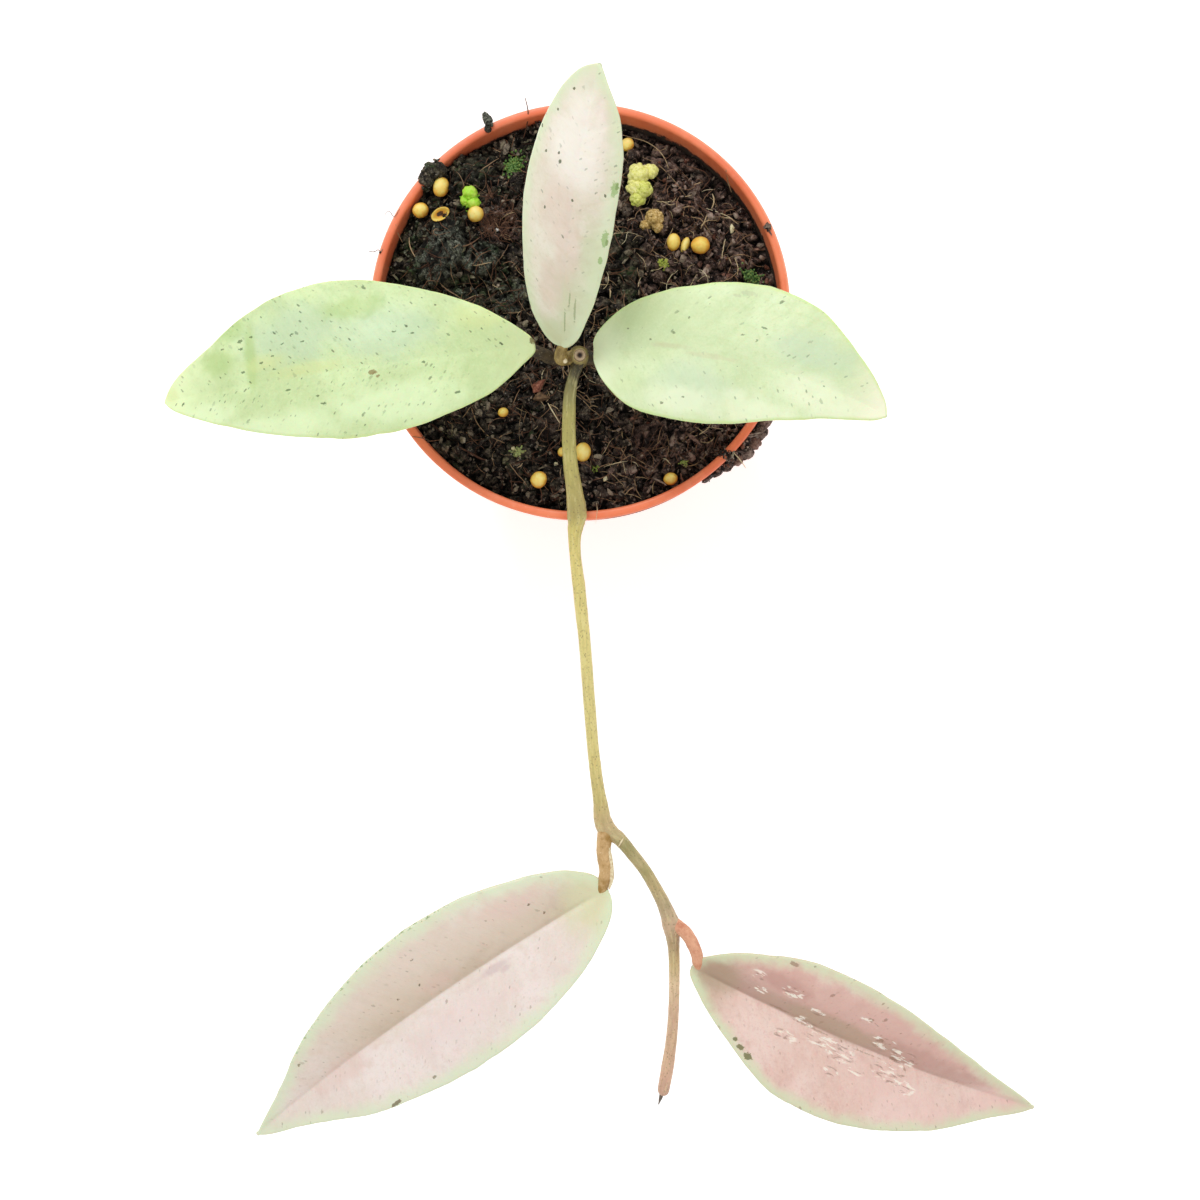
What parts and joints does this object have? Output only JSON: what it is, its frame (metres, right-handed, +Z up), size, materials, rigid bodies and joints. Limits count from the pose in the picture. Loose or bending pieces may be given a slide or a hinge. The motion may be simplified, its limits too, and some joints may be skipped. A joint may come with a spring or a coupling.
{
  "type": "potted hoya plant",
  "caption": "Small hoya with thick pointed leaves and a long trailing shoot, rooted in dark potting soil in a tapered terracotta-coloured plastic nursery pot.",
  "frame": {"origin": "centre of the pot's underside, on the surface that the pot stands on", "axes": "+Z up along the pot's axis, +X towards the tip of the right leaf, -Y towards the trailing shoot"},
  "size_m": [0.1748, 0.212, 0.1244],
  "materials": {
    "pot_plastic": "satin terracotta-orange moulded plastic",
    "potting_soil": "moist dark peat and bark mix, rough and crumbly",
    "woody_stem": "brownish olive stem with a corky skin",
    "green_stem": "olive green stem with fine speckles",
    "leaf_green": "waxy pale lime green with dark green flecks",
    "leaf_blush": "waxy pale pink with a green margin",
    "leaf_rose": "waxy dusty rose with a pale green margin and dry scars",
    "fertiliser_granule": "dull orange-yellow resin-coated granules",
    "moss": "fresh green moss cushions"
  },
  "bodies": {
    "root": {"pot": "pot_plastic", "soil": "potting_soil", "main_stem": "woody_stem", "trailing_stem": "green_stem", "leaf_left": "leaf_green", "leaf_back": "leaf_blush", "leaf_right": "leaf_green", "leaf_front_left": "leaf_blush", "leaf_front_right": "leaf_rose"}
  },
  "joints": []
}
